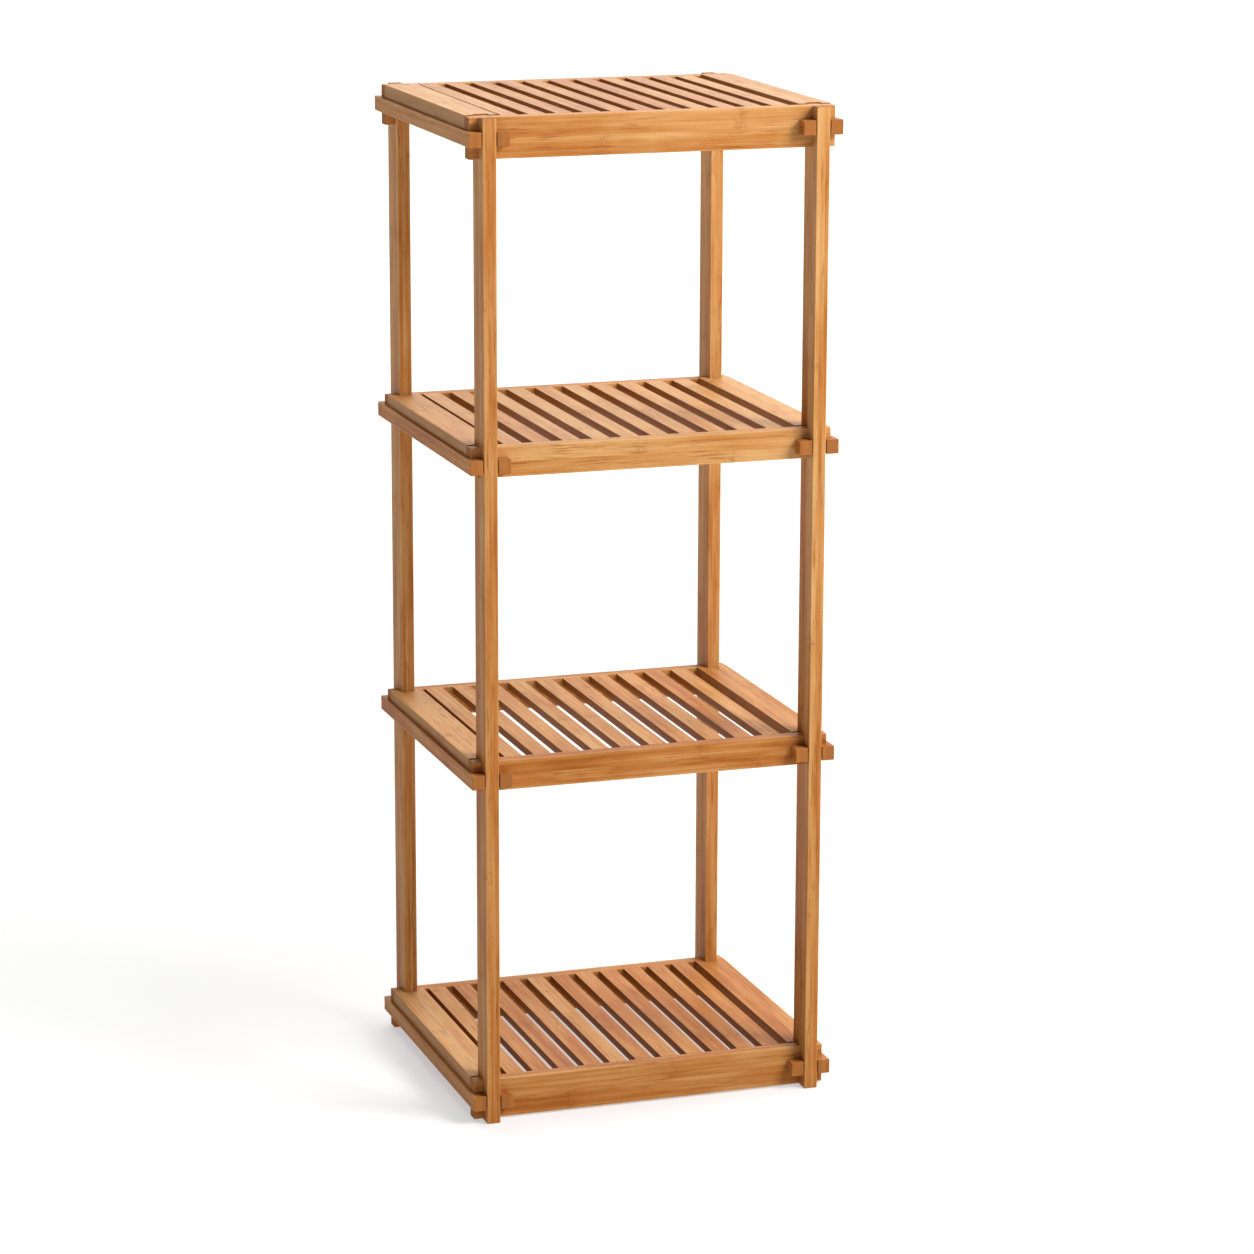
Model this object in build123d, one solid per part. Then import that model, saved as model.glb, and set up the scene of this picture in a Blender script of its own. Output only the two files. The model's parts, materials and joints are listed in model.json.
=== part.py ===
from build123d import *
import os
from collections import namedtuple

# A tower of four slatted bamboo tiers for shoes, held by four upright posts.
# Millimetres, +Z up, +X to the right, the front faces -Y.
# The origin is on the floor, under the middle of the tower.

# ---- driving dimensions -------------------------------------------------

POST_HEIGHT = 1100.0      # from the floor to the flush top tier
POST_WIDTH = 15.0         # across the front
POST_DEPTH = 37.0         # front to back
POSTS_SPAN_X = 386.0      # over the outer sides of the left and right posts
POSTS_SPAN_Y = 370.0      # over the outer faces of the front and back posts

BOARD_THICKNESS = 15.0
BOARD_SETBACK = 14.0      # from a post's outer face to the board's outer face
BOARD_OVERHANG = 11.0     # board end past the post's outer side

RAIL_WIDTH = 14.0
RAIL_HEIGHT = 16.0
RAIL_GAP = 1.0            # between a rail and the post beside it

PLANK_WIDTH = 36.0
PLANK_TOP_RISE = 1.0      # from the slats' upper faces to the planks'
PLANK_NOTCH_CLEARANCE = 0.5

SLAT_THICKNESS = 9.0
TENON_LENGTH = 8.0
TENON_THICKNESS = 5.0
TENON_SHOULDER = 2.5      # on each long side of the slat

DOWEL_DIAMETER = 5.0
DOWEL_LENGTH = 16.0
DOWEL_SPACING = 200.0     # between the two dowels in one rail

SCREW_LENGTH = 33.0
SCREW_SHANK_DIAMETER = 3.8
SCREW_HEAD_DIAMETER = 7.6
SCREW_HEAD_HEIGHT = 2.6
SCREW_TIP_LENGTH = 4.0
SCREW_DROP = 21.5         # from a tier's top to the screw's axis
FASTENING_CLEARANCE = 0.1  # between a screw or dowel and its hole
DRIVE_WIDTH = 0.9
DRIVE_LENGTH = 4.2
DRIVE_DEPTH = 1.5

EDGE_ROUND = 1.0          # worn-smooth long edges of the boards and posts
FINE_ROUND = 0.7          # edges of the thin slats and rails

# top: height of the slats' upper faces; board_height: height of the long boards;
# rail_drop: from the slats' upper faces to the rails', where the side planks lie;
# first_gap: from the left plank to the first slat, narrower than the other gaps;
# lower_block: the board's end also runs on below the rail, outside the post
Tier = namedtuple("Tier", "name top board_height rail_drop slats slat_width first_gap lower_block")
TIERS = [
    Tier("top", POST_HEIGHT, 44.0, 14.0, 11, 19.0, 4.0, True),
    Tier("upper", 751.0, 33.0, 11.0, 10, 20.0, 5.0, False),
    Tier("lower", 407.0, 33.0, 11.0, 10, 20.0, 5.0, False),
    Tier("bottom", 46.0, 44.0, 14.0, 11, 20.0, 6.0, True),
]

# ---- places worked out from them ----------------------------------------

POST_OUTER_X = POSTS_SPAN_X / 2
POST_INNER_X = POST_OUTER_X - POST_WIDTH
POST_OUTER_Y = POSTS_SPAN_Y / 2
POST_INNER_Y = POST_OUTER_Y - POST_DEPTH
BOARD_OUTER_Y = POST_OUTER_Y - BOARD_SETBACK
BOARD_INNER_Y = BOARD_OUTER_Y - BOARD_THICKNESS
BOARD_END_X = POST_OUTER_X + BOARD_OVERHANG
OUTER_RAIL_X = POST_OUTER_X + RAIL_GAP + RAIL_WIDTH / 2
INNER_RAIL_X = POST_INNER_X - RAIL_GAP - RAIL_WIDTH / 2
PLANK_INNER_X = BOARD_END_X - PLANK_WIDTH
POST_CENTRE_X = POST_OUTER_X - POST_WIDTH / 2
OUTER_DOWEL_X = (POST_OUTER_X + RAIL_GAP + BOARD_END_X) / 2
INNER_DOWEL_X = (PLANK_INNER_X + POST_INNER_X - RAIL_GAP) / 2


def block(x_range, y_range, z_range):
    """A plain box between two corners."""
    size = [high - low for low, high in (x_range, y_range, z_range)]
    middle = [(high + low) / 2 for low, high in (x_range, y_range, z_range)]
    return Pos(*middle) * Box(*size)


def mirrored(low, high, side):
    """The range from low to high, on the side (+1 or -1) of the middle plane."""
    return (low, high) if side > 0 else (-high, -low)


def rounded_edges(solid, radius, axes):
    """Round every edge of a box that runs along one of the given axes."""
    edges = [edge for axis in axes for edge in solid.edges().filter_by(axis)]
    return fillet(edges, radius)


def rail_slot(tier, centre_x, length_y):
    """The space that a rail takes up where it crosses a board."""
    half = RAIL_WIDTH / 2
    rail_top = tier.top - tier.rail_drop
    return block((centre_x - half, centre_x + half), length_y,
                 (rail_top - RAIL_HEIGHT, rail_top))


def slat_centres(tier):
    """X of each slat's middle: one narrow gap at the left, then equal gaps."""
    row_length = 2 * PLANK_INNER_X - tier.first_gap
    pitch = row_length / tier.slats
    first = -PLANK_INNER_X + tier.first_gap + tier.slat_width / 2
    return [first + number * pitch for number in range(tier.slats)]


# ---- fastenings ---------------------------------------------------------

def screw_profile(clearance):
    """Half section of a countersunk screw, head up, its top face at z = 0."""
    shank = SCREW_SHANK_DIAMETER / 2 + clearance
    head = SCREW_HEAD_DIAMETER / 2 + clearance
    tip = -SCREW_LENGTH - clearance
    outline = Polyline((0, 0, 0), (head, 0, 0), (shank, 0, -SCREW_HEAD_HEIGHT),
                       (shank, 0, tip + SCREW_TIP_LENGTH), (0, 0, tip), close=True)
    return make_face(outline)


def turned(profile):
    """The solid that a half section makes when it turns round the Z axis."""
    return revolve(profile, axis=Axis.Z, revolution_arc=360)


def screw():
    """A countersunk wood screw with a cross drive."""
    body = turned(screw_profile(0.0))
    for angle in (0, 90):
        slot = Box(DRIVE_LENGTH, DRIVE_WIDTH, 2 * DRIVE_DEPTH)
        body = body - Rot(0, 0, angle) * slot
    return body


def screw_place(tier, side_x, side_y):
    """Where a screw goes in: on the post's hidden inner face, driven outwards."""
    tilt = 90 if side_y < 0 else -90
    place = Pos(side_x * POST_CENTRE_X, side_y * POST_INNER_Y, tier.top - SCREW_DROP)
    return place * Rot(-tilt, 0, 0)


def screw_hole(tier, side_x, side_y):
    """The drilled and countersunk hole for one post screw."""
    hole = turned(screw_profile(FASTENING_CLEARANCE))
    return screw_place(tier, side_x, side_y) * hole


def dowel_places(tier, side_x):
    """Centres of the four dowels that locate one side plank on its rails."""
    seam = tier.top - tier.rail_drop
    return [Pos(side_x * dowel_x, side_y * DOWEL_SPACING / 2, seam)
            for dowel_x in (OUTER_DOWEL_X, INNER_DOWEL_X)
            for side_y in (-1, 1)]


def dowel_holes(tier, side_x):
    """The drillings for those dowels."""
    return [place * Cylinder(DOWEL_DIAMETER / 2, DOWEL_LENGTH)
            for place in dowel_places(tier, side_x)]


# ---- pieces -------------------------------------------------------------

def post(side_x, side_y):
    """An upright, mortised for the board of each tier and forked at the top."""
    across = mirrored(POST_INNER_X, POST_OUTER_X, side_x)
    solid = block(across, mirrored(POST_INNER_Y, POST_OUTER_Y, side_y), (0, POST_HEIGHT))
    solid = rounded_edges(solid, EDGE_ROUND, (Axis.X, Axis.Y, Axis.Z))
    board_y = mirrored(BOARD_INNER_Y, BOARD_OUTER_Y, side_y)
    for tier in TIERS:
        solid = solid - block(across, board_y, (tier.top - tier.board_height, tier.top))
        solid = solid - screw_hole(tier, side_x, side_y)
    return solid


def board(tier, side_y):
    """A tier's front or back board, with its end blocks, rail slots and mortises."""
    bottom = tier.top - tier.board_height
    along_y = mirrored(BOARD_INNER_Y, BOARD_OUTER_Y, side_y)
    solid = block((-BOARD_END_X, BOARD_END_X), along_y, (bottom, tier.top))
    solid = rounded_edges(solid, EDGE_ROUND, (Axis.X, Axis.Y, Axis.Z))
    rail_top = tier.top - tier.rail_drop
    notch_x = POST_OUTER_X + RAIL_GAP
    notch_bottom = rail_top - RAIL_HEIGHT if tier.lower_block else bottom
    for side_x in (-1, 1):
        end_x = mirrored(notch_x, BOARD_END_X, side_x)
        solid = solid - block(end_x, along_y, (notch_bottom, rail_top))
        solid = solid - rail_slot(tier, side_x * INNER_RAIL_X, along_y)
        solid = solid - screw_hole(tier, side_x, side_y)
    tenon_y = mirrored(BOARD_INNER_Y, BOARD_INNER_Y + TENON_LENGTH, side_y)
    for centre in slat_centres(tier):
        solid = solid - slat_tenon(tier, centre, tenon_y)
    return solid


def slat_tenon(tier, centre, along_y):
    """The tongue on a slat's end, which is also its mortise in the board."""
    half = tier.slat_width / 2 - TENON_SHOULDER
    middle = tier.top - SLAT_THICKNESS / 2
    half_height = TENON_THICKNESS / 2
    return block((centre - half, centre + half), along_y,
                 (middle - half_height, middle + half_height))


def slats(tier):
    """The tier's row of slats, each with a tenon at both ends."""
    reach = BOARD_INNER_Y + TENON_LENGTH
    row = []
    for centre in slat_centres(tier):
        half = tier.slat_width / 2
        body = block((centre - half, centre + half), (-BOARD_INNER_Y, BOARD_INNER_Y),
                     (tier.top - SLAT_THICKNESS, tier.top))
        body = rounded_edges(body, FINE_ROUND, (Axis.Y,))
        row.append(body + slat_tenon(tier, centre, (-reach, reach)))
    return Compound(children=row)


def rail(tier, centre_x):
    """A cross rail from the front posts to the back posts, drilled for dowels."""
    solid = rail_slot(tier, centre_x, (-POST_OUTER_Y, POST_OUTER_Y))
    solid = rounded_edges(solid, FINE_ROUND, (Axis.X, Axis.Y, Axis.Z))
    side_x = 1 if centre_x > 0 else -1
    for hole in dowel_holes(tier, side_x):
        solid = solid - hole
    return solid


def side_plank(tier, side_x):
    """The wide outer plank of a tier, notched round its front and back posts."""
    solid = block(mirrored(PLANK_INNER_X, BOARD_END_X, side_x),
                  (-BOARD_INNER_Y, BOARD_INNER_Y),
                  (tier.top - tier.rail_drop, tier.top + PLANK_TOP_RISE))
    solid = rounded_edges(solid, EDGE_ROUND, (Axis.Y,))
    inner = POST_INNER_X - PLANK_NOTCH_CLEARANCE
    outer = POST_OUTER_X + PLANK_NOTCH_CLEARANCE
    for side_y in (-1, 1):
        notch_y = mirrored(POST_INNER_Y - PLANK_NOTCH_CLEARANCE, BOARD_INNER_Y, side_y)
        solid = solid - block(mirrored(inner, outer, side_x), notch_y,
                              (tier.top - tier.rail_drop, tier.top + PLANK_TOP_RISE))
    for hole in dowel_holes(tier, side_x):
        solid = solid - hole
    return solid


def plank_dowels(tier):
    """Eight beech dowels between the rails and the two side planks."""
    pegs = []
    for side_x in (-1, 1):
        for place in dowel_places(tier, side_x):
            peg = Cylinder(DOWEL_DIAMETER / 2 - FASTENING_CLEARANCE, DOWEL_LENGTH)
            pegs.append(place * peg)
    return Compound(children=pegs)


def post_screws(tier):
    """Four screws that pin the tier's boards in the posts."""
    screws = [screw_place(tier, side_x, side_y) * screw()
              for side_x in (-1, 1) for side_y in (-1, 1)]
    return Compound(children=screws)


# ---- the whole rack -----------------------------------------------------

def tier_pieces(tier):
    """Every piece of one tier, by name."""
    return {
        "front_board": board(tier, -1),
        "back_board": board(tier, 1),
        "side_plank_left": side_plank(tier, -1),
        "side_plank_right": side_plank(tier, 1),
        "rail_outer_left": rail(tier, -OUTER_RAIL_X),
        "rail_inner_left": rail(tier, -INNER_RAIL_X),
        "rail_inner_right": rail(tier, INNER_RAIL_X),
        "rail_outer_right": rail(tier, OUTER_RAIL_X),
        "slats": slats(tier),
        "plank_dowels": plank_dowels(tier),
        "post_screws": post_screws(tier),
    }


def write(shape, node):
    """Write one sub-part to its own STEP file."""
    export_step(shape, f"parts/{node}.step")


os.makedirs("parts", exist_ok=True)

for side_y, depth_name in ((-1, "front"), (1, "back")):
    for side_x, width_name in ((-1, "left"), (1, "right")):
        write(post(side_x, side_y), f"post_{depth_name}_{width_name}")

for tier in TIERS:
    for piece_name, shape in tier_pieces(tier).items():
        write(shape, f"{tier.name}_{piece_name}")
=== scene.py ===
# %% [markdown]
# # A bamboo tower for shoes
# The real object is a tall, open tower: four slatted tiers threaded on four upright
# posts. Everything is laminated bamboo under a thin satin lacquer. The shapes are
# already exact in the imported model, joints and all, so this lesson is about the
# finish: how strips of bamboo, their fibres, knuckles and glue lines become shader
# maths that follows each piece's own grain.

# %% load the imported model
import json
import math
from collections import namedtuple

import bpy
import numpy as np
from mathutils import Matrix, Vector

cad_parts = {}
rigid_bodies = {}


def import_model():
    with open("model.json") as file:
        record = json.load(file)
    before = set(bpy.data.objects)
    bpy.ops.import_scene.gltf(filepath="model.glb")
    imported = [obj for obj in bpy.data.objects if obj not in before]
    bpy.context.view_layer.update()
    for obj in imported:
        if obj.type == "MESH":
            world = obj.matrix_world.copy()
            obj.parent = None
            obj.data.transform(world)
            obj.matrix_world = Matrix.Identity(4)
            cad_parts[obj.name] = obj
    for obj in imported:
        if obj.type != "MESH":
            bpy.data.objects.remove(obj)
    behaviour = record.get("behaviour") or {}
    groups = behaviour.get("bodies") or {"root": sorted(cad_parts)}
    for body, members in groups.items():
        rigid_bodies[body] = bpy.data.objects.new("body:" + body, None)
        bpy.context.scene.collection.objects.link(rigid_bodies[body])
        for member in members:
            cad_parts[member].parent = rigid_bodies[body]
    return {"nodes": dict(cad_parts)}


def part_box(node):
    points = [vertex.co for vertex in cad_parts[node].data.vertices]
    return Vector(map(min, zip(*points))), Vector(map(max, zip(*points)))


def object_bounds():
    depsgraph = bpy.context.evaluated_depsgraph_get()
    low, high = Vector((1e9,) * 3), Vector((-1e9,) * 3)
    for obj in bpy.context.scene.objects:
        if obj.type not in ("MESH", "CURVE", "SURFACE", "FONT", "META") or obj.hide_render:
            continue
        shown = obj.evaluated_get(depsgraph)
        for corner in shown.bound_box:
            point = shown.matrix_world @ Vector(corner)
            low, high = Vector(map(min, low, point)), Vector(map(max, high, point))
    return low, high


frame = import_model()
cad_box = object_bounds()
print("packed pieces:", len(frame["nodes"]))
print("packed box, metres:", [[round(value, 4) for value in corner] for corner in cad_box])

# %% [markdown]
# ## Shader maths as Python
# A material is a graph of small nodes, and a formula of ten terms would need ten
# boxes wired by hand. Instead one small class stands for "a number worked out at
# each point of the surface" and overloads `+ - * /`, so a formula is typed as a
# formula and the Math nodes appear by themselves.

# %% a number that varies over a surface
class Field:
    """A socket that carries one number per point. Operators on it add Math nodes."""

    def __init__(self, finish, socket):
        self.finish = finish
        self.socket = socket

    def math(self, operation, *others):
        return self.finish.math(operation, self, *others)

    def __add__(self, other):
        return self.math("ADD", other)

    def __sub__(self, other):
        return self.math("SUBTRACT", other)

    def __mul__(self, other):
        return self.math("MULTIPLY", other)

    def __truediv__(self, other):
        return self.math("DIVIDE", other)

    def __rsub__(self, other):
        return self.finish.math("SUBTRACT", other, self)

    def __rtruediv__(self, other):
        return self.finish.math("DIVIDE", other, self)

    __radd__ = __add__
    __rmul__ = __mul__

    def __abs__(self):
        return self.math("ABSOLUTE")

    def floor(self):
        return self.math("FLOOR")

    def fract(self):
        return self.math("FRACT")

    def lower_of(self, other):
        return self.math("MINIMUM", other)

    def higher_of(self, other):
        return self.math("MAXIMUM", other)

    def rises(self, start, end):
        """0 below start, 1 above end, and an S-curve between them."""
        return self.finish.node("ShaderNodeMapRange", {"interpolation_type": "SMOOTHSTEP"},
                                {"Value": self, "From Min": start, "From Max": end})


# %% a finish under construction
class Finish:
    """The node tree of a material, or of the room, and the ways to add nodes to it."""

    def __init__(self, owner):
        owner.use_nodes = True
        self.owner = owner
        self.nodes = owner.node_tree.nodes
        self.links = owner.node_tree.links
        self.nodes.clear()

    def plug(self, socket, value):
        """Link a Field to the socket, or set the socket's own value."""
        if isinstance(value, Field):
            self.links.new(value.socket, socket)
        else:
            socket.default_value = value

    def node(self, kind, settings=None, inputs=None, output=0):
        """Add any node: its settings first, then the values or links of its sockets."""
        made = self.nodes.new(kind)
        for name, value in (settings or {}).items():
            if name == "stops":
                self.set_stops(made.color_ramp, value)
            else:
                setattr(made, name, value)
        for name, value in (inputs or {}).items():
            self.plug(made.inputs[name], value)
        return Field(self, made.outputs[output]) if len(made.outputs) else None

    def parts(self, vector):
        """The x, y and z of a vector, as three Fields."""
        split = self.node("ShaderNodeSeparateXYZ", {}, {"Vector": vector}).socket.node
        return [Field(self, socket) for socket in split.outputs]

    def set_stops(self, ramp, stops):
        """Give a colour ramp its stops, as (place, colour) pairs in rising order."""
        while len(ramp.elements) < len(stops):
            ramp.elements.new(1.0)
        for element, (place, colour) in zip(ramp.elements, stops):
            element.position = place
            element.color = (*colour, 1.0)

    def math(self, operation, *values):
        return self.node("ShaderNodeMath", {"operation": operation}, dict(enumerate(values)))

    def vector(self, x, y, z):
        return self.node("ShaderNodeCombineXYZ", {}, {"X": x, "Y": y, "Z": z})

    def noise(self, place, detail=2.0, roughness=0.5):
        """Smooth noise between 0 and 1 whose blotches are one unit of `place` wide."""
        return self.node("ShaderNodeTexNoise", {"noise_dimensions": "3D"},
                         {"Vector": place, "Scale": 1.0, "Detail": detail,
                          "Roughness": roughness})

    def chance(self, seed):
        """A random number between 0 and 1 that is the same wherever seed is the same."""
        return self.node("ShaderNodeTexWhiteNoise", {"noise_dimensions": "1D"}, {"W": seed})

    def mix(self, share, first, second, how="MIX"):
        """Blend two colours: share 0 gives the first, 1 the second."""
        return self.node("ShaderNodeMix", {"data_type": "RGBA", "blend_type": how},
                         {0: share, 6: first, 7: second}, output=2)

    def surface(self, **inputs):
        """The Principled shader, whose sockets are named with _ for a space."""
        named = {name.replace("_", " "): value for name, value in inputs.items()}
        shader = self.node("ShaderNodeBsdfPrincipled", {}, named)
        self.node("ShaderNodeOutputMaterial", {}, {"Surface": shader})
        return self.owner


def new_finish(name):
    """An empty material, ready for its nodes."""
    return Finish(bpy.data.materials.new(name))


# %% [markdown]
# ## What laminated bamboo looks like
# A bamboo cane is hollow, so a board is glued from flat strips: about 5 mm thick
# and 15 to 20 mm wide. Four things tell the eye that it is bamboo and not pine:
# every strip has its own tone, its fibres run dead straight as fine streaks, dark
# dashes mark the cut bundles of fibres, and each strip crosses a *knuckle*, the
# old joint of the cane, at its own place. So the pattern is worked out per strip.

# %% sizes of strips and fibres, in metres
STRIP_WIDTH = 0.0185
STRIP_THICKNESS = 0.0052
CANE_JOINT_SPACING = 0.31
GLUE_LINE = 0.00022
AXES = {"x": 0, "y": 1, "z": 2}

# each layer of streaks is (length along the grain, width across it)
FIBRES = (0.10, 0.0010)
BANDS = (0.32, 0.0045)
CLOUDS = (0.15, 0.026)
PATCHES = (0.055, 0.010)
DASHES = (0.030, 0.0016)
DASH_CLUSTERS = (0.085, 0.011)
BUNDLES = (0.011, 0.0006)

# a knuckle: its thin line, the gaps in the line, its wander and its smudge
KNUCKLE_LINE = (0.0003, 0.0012)
KNUCKLE_GAPS = 0.0028
KNUCKLE_WANDER = 0.0030
WANDER_WIDTH = 0.014
SMUDGE_REACH = (0.0020, 0.0140)
SMUDGE_BLOTCH = (0.007, 0.004)
# the band along the long edges that is lightened as a painted highlight
EDGE_HIGHLIGHT_REACH = (0.0002, 0.0022)
PORE_SPACING = 0.0012

# %% colours of lacquered bamboo
PALE_HONEY = (0.655, 0.385, 0.158)
HONEY = (0.535, 0.256, 0.080)
WARM_HONEY = (0.440, 0.160, 0.034)
TOASTED = (0.310, 0.090, 0.013)
DASH_BROWN = (0.250, 0.074, 0.012)
KNUCKLE_BROWN = (0.170, 0.058, 0.015)
GLUE_BROWN = (0.220, 0.080, 0.021)
# the brown of the painted shade on the narrow sides
SIDE_SHADE_BROWN = (0.230, 0.066, 0.010)
ROSE_TINT = (0.90, 0.72, 0.58)
END_GRAIN = (0.300, 0.112, 0.032)
END_PORE = (0.170, 0.060, 0.018)


def rgba(colour):
    """An opaque colour, as a socket takes it."""
    return (*colour, 1.0)


# %% [markdown]
# ## A piece's own directions
# The same pattern has to lie upright on a post and level on a board. It could be
# unwrapped with UVs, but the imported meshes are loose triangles, and a solid pattern
# also has to agree round every corner, as real wood does. So each point is measured
# in space, from the middle of its own piece: how far along the grain, across the
# wide side and across the thin side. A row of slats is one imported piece, so there
# the number of the slat comes first, and the place is then taken from its middle.

# %% measure a piece
class Grain:
    """Where a point is in its piece.

    u runs along the grain, v across the wide side and w across the thin side, all
    from the middle. number is the slat's number in a row. from_edge is 0 on the long
    edges and grows inwards, end_face is 1 where the grain is cut across, and
    narrow_face is 1 on the two narrow sides that run along the grain.
    """

    def __init__(self, finish, low, high, along, row):
        xyz = finish.parts(finish.node("ShaderNodeTexCoord", output=3))
        size = [top - bottom for bottom, top in zip(low, high)]
        self.number = 0.0
        place = [field - (top + bottom) / 2
                 for field, bottom, top in zip(xyz, low, high)]
        if row:
            count, width = row
            pitch = (size[0] - width) / (count - 1)
            first = low[0] + width / 2
            self.number = ((xyz[0] - first) / pitch + 0.5).floor()
            place[0] = xyz[0] - (self.number * pitch + first)
            size[0] = width
        along = AXES[along]
        wide, thin = sorted({0, 1, 2} - {along}, key=lambda axis: -size[axis])
        self.u, self.v, self.w = place[along], place[wide], place[thin]
        self.width, self.thickness = size[wide], size[thin]
        reach_v = self.width / 2 - abs(self.v)
        reach_w = self.thickness / 2 - abs(self.w)
        self.from_edge = reach_v + reach_w
        normal = finish.parts(finish.node("ShaderNodeTexCoord", output=1))
        self.end_face = abs(normal[along]).rises(0.6, 0.8)
        self.narrow_face = abs(normal[wide]).rises(0.6, 0.8)


# %% [markdown]
# ## Strips
# Strips are the cells of a grid across the piece. The number of a cell seeds three
# chances: its tone, how red it is, and how far its pattern is slid along the grain,
# so that no knuckle runs on into the next strip. Streaks of any size are then one
# noise, squeezed across the grain and stretched along it.

# %% cut a piece into strips
class Strips:
    """The glued strips of one piece, and streaks that follow each strip's fibres."""

    def __init__(self, finish, grain, seed):
        self.finish = finish
        self.count = max(1, round(grain.width / STRIP_WIDTH))
        self.layers = max(1, round(grain.thickness / STRIP_THICKNESS))
        self.across = (grain.v / grain.width + 0.5) * self.count
        self.deep = (grain.w / grain.thickness + 0.5) * self.layers
        strip = self.across.floor().higher_of(0.0).lower_of(self.count - 1.0)
        layer = self.deep.floor().higher_of(0.0).lower_of(self.layers - 1.0)
        self.cell = strip * 17.31 + layer * 5.77 + grain.number * 3.19 + seed * 1.37
        self.tone = finish.chance(self.cell)
        self.slide = finish.chance(self.cell + 41.7)
        self.redness = finish.chance(self.cell + 83.1)
        self.u = grain.u + self.slide * 3.7 + seed * 0.31
        sway = finish.noise(finish.vector(self.u / 0.16, self.cell * 3.0, 0.0)) - 0.5
        self.v = grain.v + sway * 0.0035
        self.w = grain.w + sway * 0.0015

    def streaks(self, size, detail, salt):
        """Noise that is 0 to 1, stretched to (length, width) along the grain."""
        length, width = size
        place = self.finish.vector(self.u / length, self.v / width + self.cell * 0.7 + salt,
                                   self.w / width)
        return self.finish.noise(place, detail)

    def glue_lines(self, grain):
        """1 on the seams between strips, 0 elsewhere."""
        beside = abs((self.across + 0.5).fract() - 0.5) * (grain.width / self.count)
        above = abs((self.deep + 0.5).fract() - 0.5) * (grain.thickness / self.layers)
        return 1.0 - beside.lower_of(above).rises(GLUE_LINE * 0.4, GLUE_LINE * 1.8)

    def knuckles(self):
        """A thin broken line across the strip, and a soft smudge round it."""
        finish = self.finish
        bend = finish.noise(finish.vector(self.v / WANDER_WIDTH, self.w / WANDER_WIDTH,
                                          self.cell)) - 0.5
        turn = ((self.u + bend * KNUCKLE_WANDER) / CANE_JOINT_SPACING + self.slide).fract()
        off = abs(turn - 0.5) * CANE_JOINT_SPACING
        broken = finish.noise(finish.vector(self.v / KNUCKLE_GAPS, self.w / KNUCKLE_GAPS,
                                            self.cell + 9.0))
        line = (1.0 - off.rises(*KNUCKLE_LINE)) * broken.rises(0.40, 0.62)
        length, width = SMUDGE_BLOTCH
        patchy = finish.noise(finish.vector(self.u / length, self.v / width, self.w / width), 3.0)
        smudge = (1.0 - off.rises(*SMUDGE_REACH)) * patchy.rises(0.40, 0.72)
        return line, smudge


# %% [markdown]
# ## The finish
# The tone is a sum: the strip's own tone, wide clouds, small patches, narrow bands
# and fine fibres. A ramp turns it into four honey colours, from toasted to pale.
# Some strips and patches blush towards rose. Dashes, knuckles and glue lines are
# laid over it in darker browns. Where the grain is cut across, dots of cut fibre
# bundles take over. The lacquer is thin and satin, so the gloss is low and mostly
# follows the fibres.

# %% strengths of the layers
MIDDLE_TONE = 0.52
SWINGS = {"strip": 0.22, "clouds": 1.15, "patches": 0.55, "bands": 0.85, "fibres": 0.50}
HONEY_STOPS = [(0.02, TOASTED), (0.34, WARM_HONEY), (0.62, HONEY), (0.98, PALE_HONEY)]
STRIP_BLUSH = 0.45
PATCH_BLUSH = 0.38
DASH_SHARE = 0.62
BUNDLE_SHARE = 0.22
SMUDGE_SHARE = 0.38
KNUCKLE_SHARE = 0.36
GLUE_SHARE = 0.15
END_SHARE = 0.92

Look = namedtuple("Look", "tone sawn drift rose")


# %% bamboo for one piece
def cut_ends(finish, grain, strips):
    """End grain: brown, with darker dots where fibre bundles are cut across."""
    dot_place = finish.vector(grain.v / PORE_SPACING + strips.cell, grain.w / PORE_SPACING,
                              strips.cell)
    dots = finish.node("ShaderNodeTexVoronoi", {"voronoi_dimensions": "3D"},
                       {"Vector": dot_place, "Scale": 1.0})
    pores = 1.0 - dots.rises(0.14, 0.44)
    ground = finish.mix(strips.tone * 0.5, rgba(END_GRAIN), rgba(WARM_HONEY))
    return finish.mix(pores * 0.5, ground, rgba(END_PORE)), pores


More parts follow.
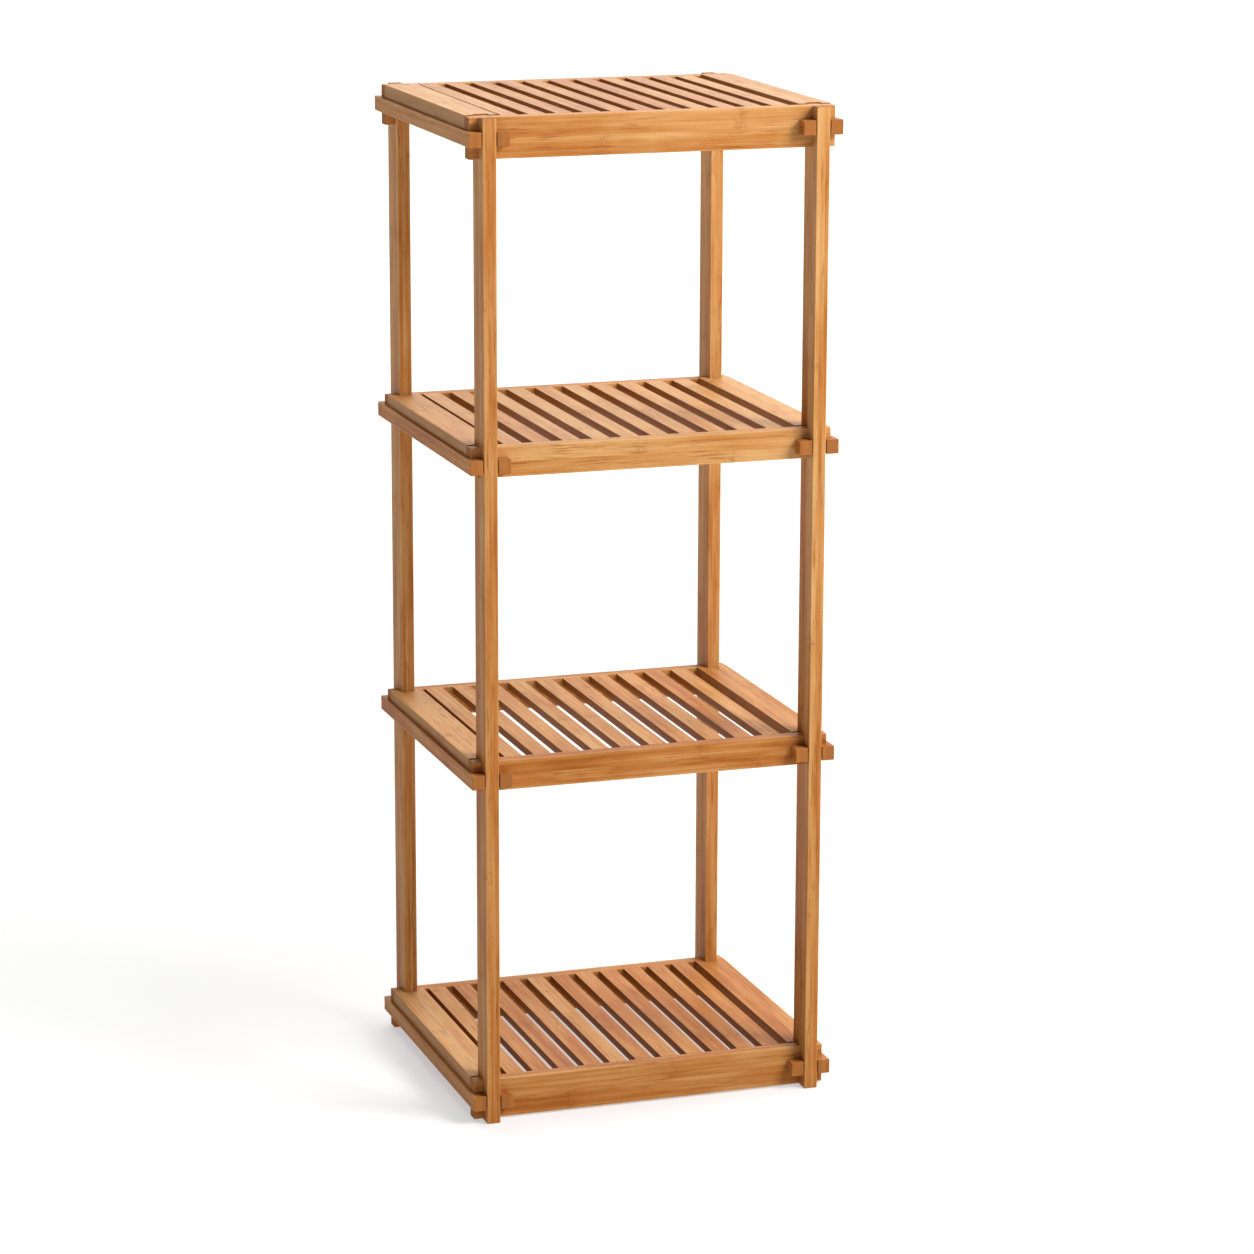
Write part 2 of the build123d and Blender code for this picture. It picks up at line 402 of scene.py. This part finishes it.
def bamboo(name, low, high, along, seed, look, row):
    """Laminated bamboo for a piece whose box is low to high, with its grain along
    an axis. In its look, tone makes the whole piece paler or darker, the second
    field is how far painted shade darkens its narrow sides, as if shade fell in
    the gaps between slats, the third is how much paler it gets in a metre of its
    length, a painted shade darker towards the foot, and rose is how red it is."""
    finish = new_finish(name)
    grain = Grain(finish, low, high, along, row)
    strips = Strips(finish, grain, seed)
    fibres = strips.streaks(FIBRES, 3.0, 3.0)
    bands = strips.streaks(BANDS, 2.0, 11.0)
    clouds = strips.streaks(CLOUDS, 3.0, 23.0)
    patches = strips.streaks(PATCHES, 3.0, 67.0)
    clusters = strips.streaks(DASH_CLUSTERS, 1.0, 53.0).rises(0.47, 0.63)
    dashes = strips.streaks(DASHES, 2.0, 31.0).rises(0.50, 0.68) * clusters
    bundles = strips.streaks(BUNDLES, 1.0, 37.0).rises(0.60, 0.74)
    line, smudge = strips.knuckles()
    # painted highlight: a thin band along the long edges is lightened, as where light catches them
    edge_highlight = 1.0 - grain.from_edge.rises(*EDGE_HIGHLIGHT_REACH)
    glue = strips.glue_lines(grain) * (1.0 - edge_highlight) * (1.0 - grain.end_face)

    layers = {"strip": strips.tone, "clouds": clouds, "patches": patches, "bands": bands,
              "fibres": fibres}
    # painted shade: along its grain a post gets paler upwards and darker towards its foot
    level = MIDDLE_TONE + look.tone + grain.u * look.drift
    for layer, swing in SWINGS.items():
        level = level + (layers[layer] - 0.5) * swing
    colour = finish.node("ShaderNodeValToRGB", {"stops": HONEY_STOPS}, {"Fac": level})
    blush = (look.rose + strips.redness.rises(0.35, 1.0) * STRIP_BLUSH
             + patches.rises(0.50, 0.74) * PATCH_BLUSH)
    colour = finish.mix(blush, colour, rgba(ROSE_TINT), "MULTIPLY")
    # painted shade: the narrow sides are darkened, as if by the shade in the gaps between slats
    colour = finish.mix(grain.narrow_face * look.sawn, colour, rgba(SIDE_SHADE_BROWN))
    colour = finish.mix(dashes * DASH_SHARE, colour, rgba(DASH_BROWN))
    colour = finish.mix(bundles * BUNDLE_SHARE, colour, rgba(TOASTED))
    colour = finish.mix(smudge * SMUDGE_SHARE, colour, rgba(DASH_BROWN))
    colour = finish.mix(line * KNUCKLE_SHARE, colour, rgba(KNUCKLE_BROWN))
    colour = finish.mix(glue * GLUE_SHARE, colour, rgba(GLUE_BROWN))
    # the painted highlight on the long edges, broken up by the fibres
    colour = finish.mix(edge_highlight * (0.10 + fibres * 0.35), colour, rgba(PALE_HONEY))
    ends, pores = cut_ends(finish, grain, strips)
    colour = finish.mix(grain.end_face * END_SHARE, colour, ends)

    roughness = (0.46 + (fibres - 0.5) * 0.18 + (clouds - 0.5) * 0.12
                 + grain.end_face * 0.20 + smudge * 0.06 - edge_highlight * 0.04)
    height = (fibres * 0.35 - bundles * 0.35 - dashes * 0.3 - line * 0.8
              - glue * 0.9 - pores * grain.end_face * 0.8)
    bump = finish.node("ShaderNodeBump", {}, {"Strength": 0.35, "Distance": 0.00018,
                                              "Height": height})
    return finish.surface(Base_Color=colour, Roughness=roughness, Normal=bump, IOR=1.42,
                          Specular_IOR_Level=0.06, Coat_Weight=0.02, Coat_Roughness=0.30)


# %% [markdown]
# ## One finish per piece
# Every imported piece gets its own copy of the finish, measured from its own box, so
# that no two boards share a pattern, and the strips end where the piece ends. The
# grain runs along a piece's length, which its name tells. Planks and some tiers are
# cut from paler bamboo than others. The narrow sides of slats, planks and rails are
# darkened with painted shade, most on the slats, as if shade fell in the gaps between
# them, and the posts get a painted shade that darkens them towards the foot.

# %% dress the imported pieces
# the slats of each tier: how many, and how wide in metres
ROWS = {"top": (11, 0.019), "upper": (10, 0.020), "lower": (10, 0.020), "bottom": (11, 0.020)}
GRAIN_ALONG = {"post": "z", "board": "x", "plank": "y", "rail": "y", "slats": "y"}
# in each look the second field paints shade on the narrow sides and the third paints shade towards a
# post's foot
LOOKS = {"post": Look(tone=0.0, sawn=0.0, drift=0.15, rose=0.0),
         "board": Look(tone=0.0, sawn=0.0, drift=0.0, rose=0.0),
         "plank": Look(tone=0.36, sawn=0.38, drift=0.0, rose=0.15),
         "rail": Look(tone=-0.04, sawn=0.20, drift=0.0, rose=0.35),
         "slats": Look(tone=0.0, sawn=0.80, drift=0.0, rose=0.10)}
TONES = {"post_front_left": -0.02, "post_back_left": -0.02, "post_front_right": 0.08,
         "post_back_right": 0.20, "top_front_board": 0.16, "upper_front_board": 0.34,
         "lower_front_board": -0.16, "bottom_front_board": -0.12, "top_slats": 0.10,
         "upper_slats": 0.28, "lower_slats": 0.12, "bottom_slats": 0.02,
         "lower_side_plank_right": 0.16, "bottom_side_plank_right": 0.12}
FASTENINGS = ("screws", "dowels")
SEED_STEP = 2.713


def dress(node, material):
    """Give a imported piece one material."""
    slots = node.data.materials
    slots.clear()
    slots.append(material)
    node.data.polygons.foreach_set("material_index", np.zeros(len(node.data.polygons), int))


wooden = 0
for number, (name, node) in enumerate(sorted(frame["nodes"].items())):
    if name.endswith(FASTENINGS):
        continue
    words = name.split("_")
    kind = next(word for word in GRAIN_ALONG if word in words)
    look = LOOKS[kind]._replace(tone=TONES.get(name, LOOKS[kind].tone))
    low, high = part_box(name)
    row = ROWS[words[0]] if kind == "slats" else None
    dress(node, bamboo("bamboo_" + name, low, high, GRAIN_ALONG[kind], number * SEED_STEP,
                       look, row))
    wooden += 1
print("bamboo pieces:", wooden)

# %% [markdown]
# ## Screws and dowels
# The screws that pin the boards inside the posts are zinc-plated: bright, slightly
# blue-grey, with a fine noise in their gloss and a cloudy one in their tint. The
# dowels are plain beech, pale, with short flecks. Both are mostly hidden, but seen
# from under a tier.

# %% zinc and beech
def zinc(name):
    """Plated steel: fine noise varies the gloss and tints it slightly."""
    finish = new_finish(name)
    place = finish.node("ShaderNodeTexCoord", output=3)
    fine = finish.node("ShaderNodeTexNoise", {}, {"Vector": place, "Scale": 900.0, "Detail": 3.0})
    cloudy = finish.node("ShaderNodeTexNoise", {}, {"Vector": place, "Scale": 160.0, "Detail": 2.0})
    colour = finish.mix(cloudy, rgba((0.52, 0.53, 0.54)), rgba((0.66, 0.65, 0.60)))
    bump = finish.node("ShaderNodeBump", {}, {"Strength": 0.2, "Distance": 0.00005, "Height": fine})
    return finish.surface(Base_Color=colour, Metallic=1.0, Roughness=0.26 + fine * 0.18,
                          Normal=bump)


def beech(name):
    """Turned beech: short flecks stretched upright along the dowel."""
    finish = new_finish(name)
    place = finish.node("ShaderNodeTexCoord", output=3)
    stretched = finish.node("ShaderNodeMapping", {}, {"Vector": place, "Scale": (900.0, 900.0, 110.0)})
    flecks = finish.noise(stretched, 3.0)
    colour = finish.mix(flecks.rises(0.35, 0.75), rgba((0.62, 0.44, 0.27)), rgba((0.44, 0.28, 0.15)))
    bump = finish.node("ShaderNodeBump", {}, {"Strength": 0.3, "Distance": 0.0001, "Height": flecks})
    return finish.surface(Base_Color=colour, Roughness=0.55 + flecks * 0.15, Normal=bump)


plated = zinc("zinc_plate")
turned_beech = beech("turned_beech")
for name, node in frame["nodes"].items():
    if name.endswith("screws"):
        dress(node, plated)
    if name.endswith("dowels"):
        dress(node, turned_beech)
print("screws and dowels dressed")

# %% [markdown]
# ## Floor
# A plain white floor, far wider than the view, so that no edge or horizon shows. It
# is a light table: white acrylic that is also lit from below, as used for goods on
# white, which keeps the shadows faint. Far from the lamps it glows more, so that it
# stays as white there, and under the rack it glows a little less, a painted shade
# beneath the rack. The disc's grid gets coarser outwards: a point at ring r and turn
# t sits at radius times r squared, so the small cells lie under the rack.

# %% a white light table
FLOOR_RADIUS = 60.0
FLOOR_RINGS = 24
FLOOR_TURNS = 64
GLOW_NEAR = (0.480, 0.492, 0.506)
GLOW_FAR = (0.80, 0.80, 0.80)
GLOW_REACH = (1.2, 4.5)
# the cut in the glow under the rack is a painted shade
GLOW_UNDER = 0.86             # share of the glow left under the rack
RACK_REACH = (0.10, 0.27)


def disc(radius, rings, turns, height):
    """A flat disc: place(r, t) = (R r^2 cos t, R r^2 sin t, height), r in 0..1."""
    ring = np.linspace(0.0, 1.0, rings + 1)[1:]
    turn = np.linspace(0.0, 2 * np.pi, turns, endpoint=False)
    r, t = np.meshgrid(radius * ring ** 2, turn, indexing="ij")
    grid = np.stack([r * np.cos(t), r * np.sin(t), np.full_like(r, height)], axis=-1)
    points = np.vstack([[[0.0, 0.0, height]], grid.reshape(-1, 3)])
    i, j = np.meshgrid(np.arange(rings - 1), np.arange(turns), indexing="ij")
    near = 1 + i * turns
    quads = np.stack([near + j, near + turns + j, near + turns + (j + 1) % turns,
                      near + (j + 1) % turns], axis=-1).reshape(-1, 4)
    k = np.arange(turns)
    fan = np.stack([np.zeros(turns, int), 1 + k, 1 + (k + 1) % turns], axis=-1)
    return points, quads.tolist() + fan.tolist()


def acrylic():
    """Matt white acrylic with the faintest unevenness. Its glow is weakest under the
    rack, a painted shade there, and rises again between the two radii of GLOW_REACH."""
    finish = new_finish("white_acrylic")
    place = finish.node("ShaderNodeTexCoord", output=3)
    cloudy = finish.node("ShaderNodeTexNoise", {}, {"Vector": place, "Scale": 1.5, "Detail": 2.0})
    colour = finish.mix(cloudy, rgba((0.49, 0.49, 0.49)), rgba((0.51, 0.51, 0.51)))
    radius = finish.node("ShaderNodeVectorMath", {"operation": "LENGTH"}, {0: place}, output=1)
    glow = finish.mix(radius.rises(*GLOW_REACH), rgba(GLOW_NEAR), rgba(GLOW_FAR))
    under = rgba(value * GLOW_UNDER for value in GLOW_NEAR)
    # painted shade: the glow is cut under the rack
    glow = finish.mix(radius.rises(*RACK_REACH), under, glow)
    return finish.surface(Base_Color=colour, Roughness=0.8, Specular_IOR_Level=0.0,
                          Emission_Color=glow, Emission_Strength=1.0)


points, faces = disc(FLOOR_RADIUS, FLOOR_RINGS, FLOOR_TURNS, cad_box[0][2])
floor_mesh = bpy.data.meshes.new("floor")
floor_mesh.from_pydata(points.tolist(), [], faces)
floor = bpy.data.objects.new("floor", floor_mesh)
bpy.context.scene.collection.objects.link(floor)
floor_mesh.materials.append(acrylic())
print("floor faces:", len(floor_mesh.polygons))

# %% [markdown]
# ## Light
# Plain soft studio light. The key is a large panel at the front right, above the
# rack: being near, it is stronger on the upper half than at the foot. A dim panel
# behind gives the lacquer of the top tier its pale sheen. Panels fade with distance,
# so two suns with very wide discs, from the right and from behind, light every
# tier's top evenly, under the tiers above. A pale room fills in the rest, and it
# gets darker to the left, so the left faces fall into a soft shade.

# %% lamps and room
SCENE = bpy.context.scene
WHITE_FACE_SUN = math.pi     # the sun that makes a white face turned to it just white
ROOM_LIGHT = 0.27
LEFT_LIGHT = 0.13
LEFT_TO_RIGHT = (-0.9, 0.5)  # where the room starts and stops getting brighter


def add_lamp(name, kind, energy, colour, **settings):
    """A lamp of one kind with its settings."""
    data = bpy.data.lights.new(name, kind)
    data.energy = energy
    data.color = colour
    for setting, value in settings.items():
        setattr(data, setting, value)
    lamp = bpy.data.objects.new(name, data)
    SCENE.collection.objects.link(lamp)
    return lamp


def shine(lamp, direction):
    """Turn a lamp to shine along a direction."""
    lamp.rotation_euler = direction.to_track_quat("-Z", "Y").to_euler()


def panel(name, place, aim, side, watts, colour):
    """A square panel lamp at a place, turned to face a point."""
    lamp = add_lamp(name, "AREA", watts, colour, shape="SQUARE", size=side)
    lamp.location = place
    shine(lamp, Vector(aim) - Vector(place))


def sun(name, height, right_of_front, strength, wide, colour):
    """A sun at an angle above the floor and an angle right of the front."""
    lamp = add_lamp(name, "SUN", strength * WHITE_FACE_SUN, colour, angle=math.radians(wide))
    up, turned = math.radians(height), math.radians(right_of_front)
    shine(lamp, Vector((-math.cos(up) * math.sin(turned), math.cos(up) * math.cos(turned),
                        -math.sin(up))))


rack_middle = (Vector(cad_box[0]) + Vector(cad_box[1])) / 2
panel("key_panel", (1.75, -1.85, 2.45), rack_middle, 1.4, 101, (1.0, 0.97, 0.93))
panel("back_card", (1.1, 3.0, 2.2), (0.0, 0.0, 1.1), 1.4, 13, (1.0, 1.0, 1.0))
sun("right_sun", 36, 80, 0.34, 60, (1.0, 0.98, 0.95))
sun("back_sun", 46, 165, 0.68, 60, (1.0, 0.98, 0.95))

SCENE.world = bpy.data.worlds.new("room")
room = Finish(SCENE.world)
direction = room.parts(room.node("ShaderNodeTexCoord", output=0))
from_right = direction[0].rises(*LEFT_TO_RIGHT)
strength = LEFT_LIGHT + from_right * (ROOM_LIGHT - LEFT_LIGHT)
dim = room.node("ShaderNodeBackground", {}, {"Color": rgba((1.0, 0.975, 0.94)),
                                             "Strength": strength})
white = room.node("ShaderNodeBackground", {}, {"Color": rgba((1.0, 1.0, 1.0))})
seen = room.node("ShaderNodeLightPath")
room.node("ShaderNodeOutputWorld", {}, {
    "Surface": room.node("ShaderNodeMixShader", {}, {0: seen, 1: dim, 2: white})})
SCENE.view_settings.view_transform = "Standard"
print("lamps:", sum(item.type == "LIGHT" for item in bpy.data.objects))

# %% [markdown]
# ## Camera
# The tower is seen from the front, a little from the left and from above its top, by
# a long lens from over four metres away, so its uprights stay almost parallel. The
# place is worked out backwards from the point looked at, the two angles and the
# distance.

# %% the camera
LEFT_OF_FRONT = math.radians(18.6)
LOOKING_DOWN = math.radians(13.42)
DISTANCE = 4.652
LENS_MM = 121.2
AIM = Vector((0.0, -0.085, 0.523))
ROLL = 0.0031

look = Vector((math.sin(LEFT_OF_FRONT) * math.cos(LOOKING_DOWN),
               math.cos(LEFT_OF_FRONT) * math.cos(LOOKING_DOWN),
               -math.sin(LOOKING_DOWN)))
camera_data = bpy.data.cameras.new("camera")
camera_data.lens = LENS_MM
camera_data.sensor_width = 36.0
camera_data.clip_end = 200.0
camera = bpy.data.objects.new("camera", camera_data)
camera.location = AIM - DISTANCE * look
camera.rotation_euler = look.to_track_quat("-Z", "Y").to_euler()
camera.rotation_euler.rotate_axis("Z", ROLL)
SCENE.collection.objects.link(camera)
SCENE.camera = camera
print("camera at", [round(value, 3) for value in camera.location])
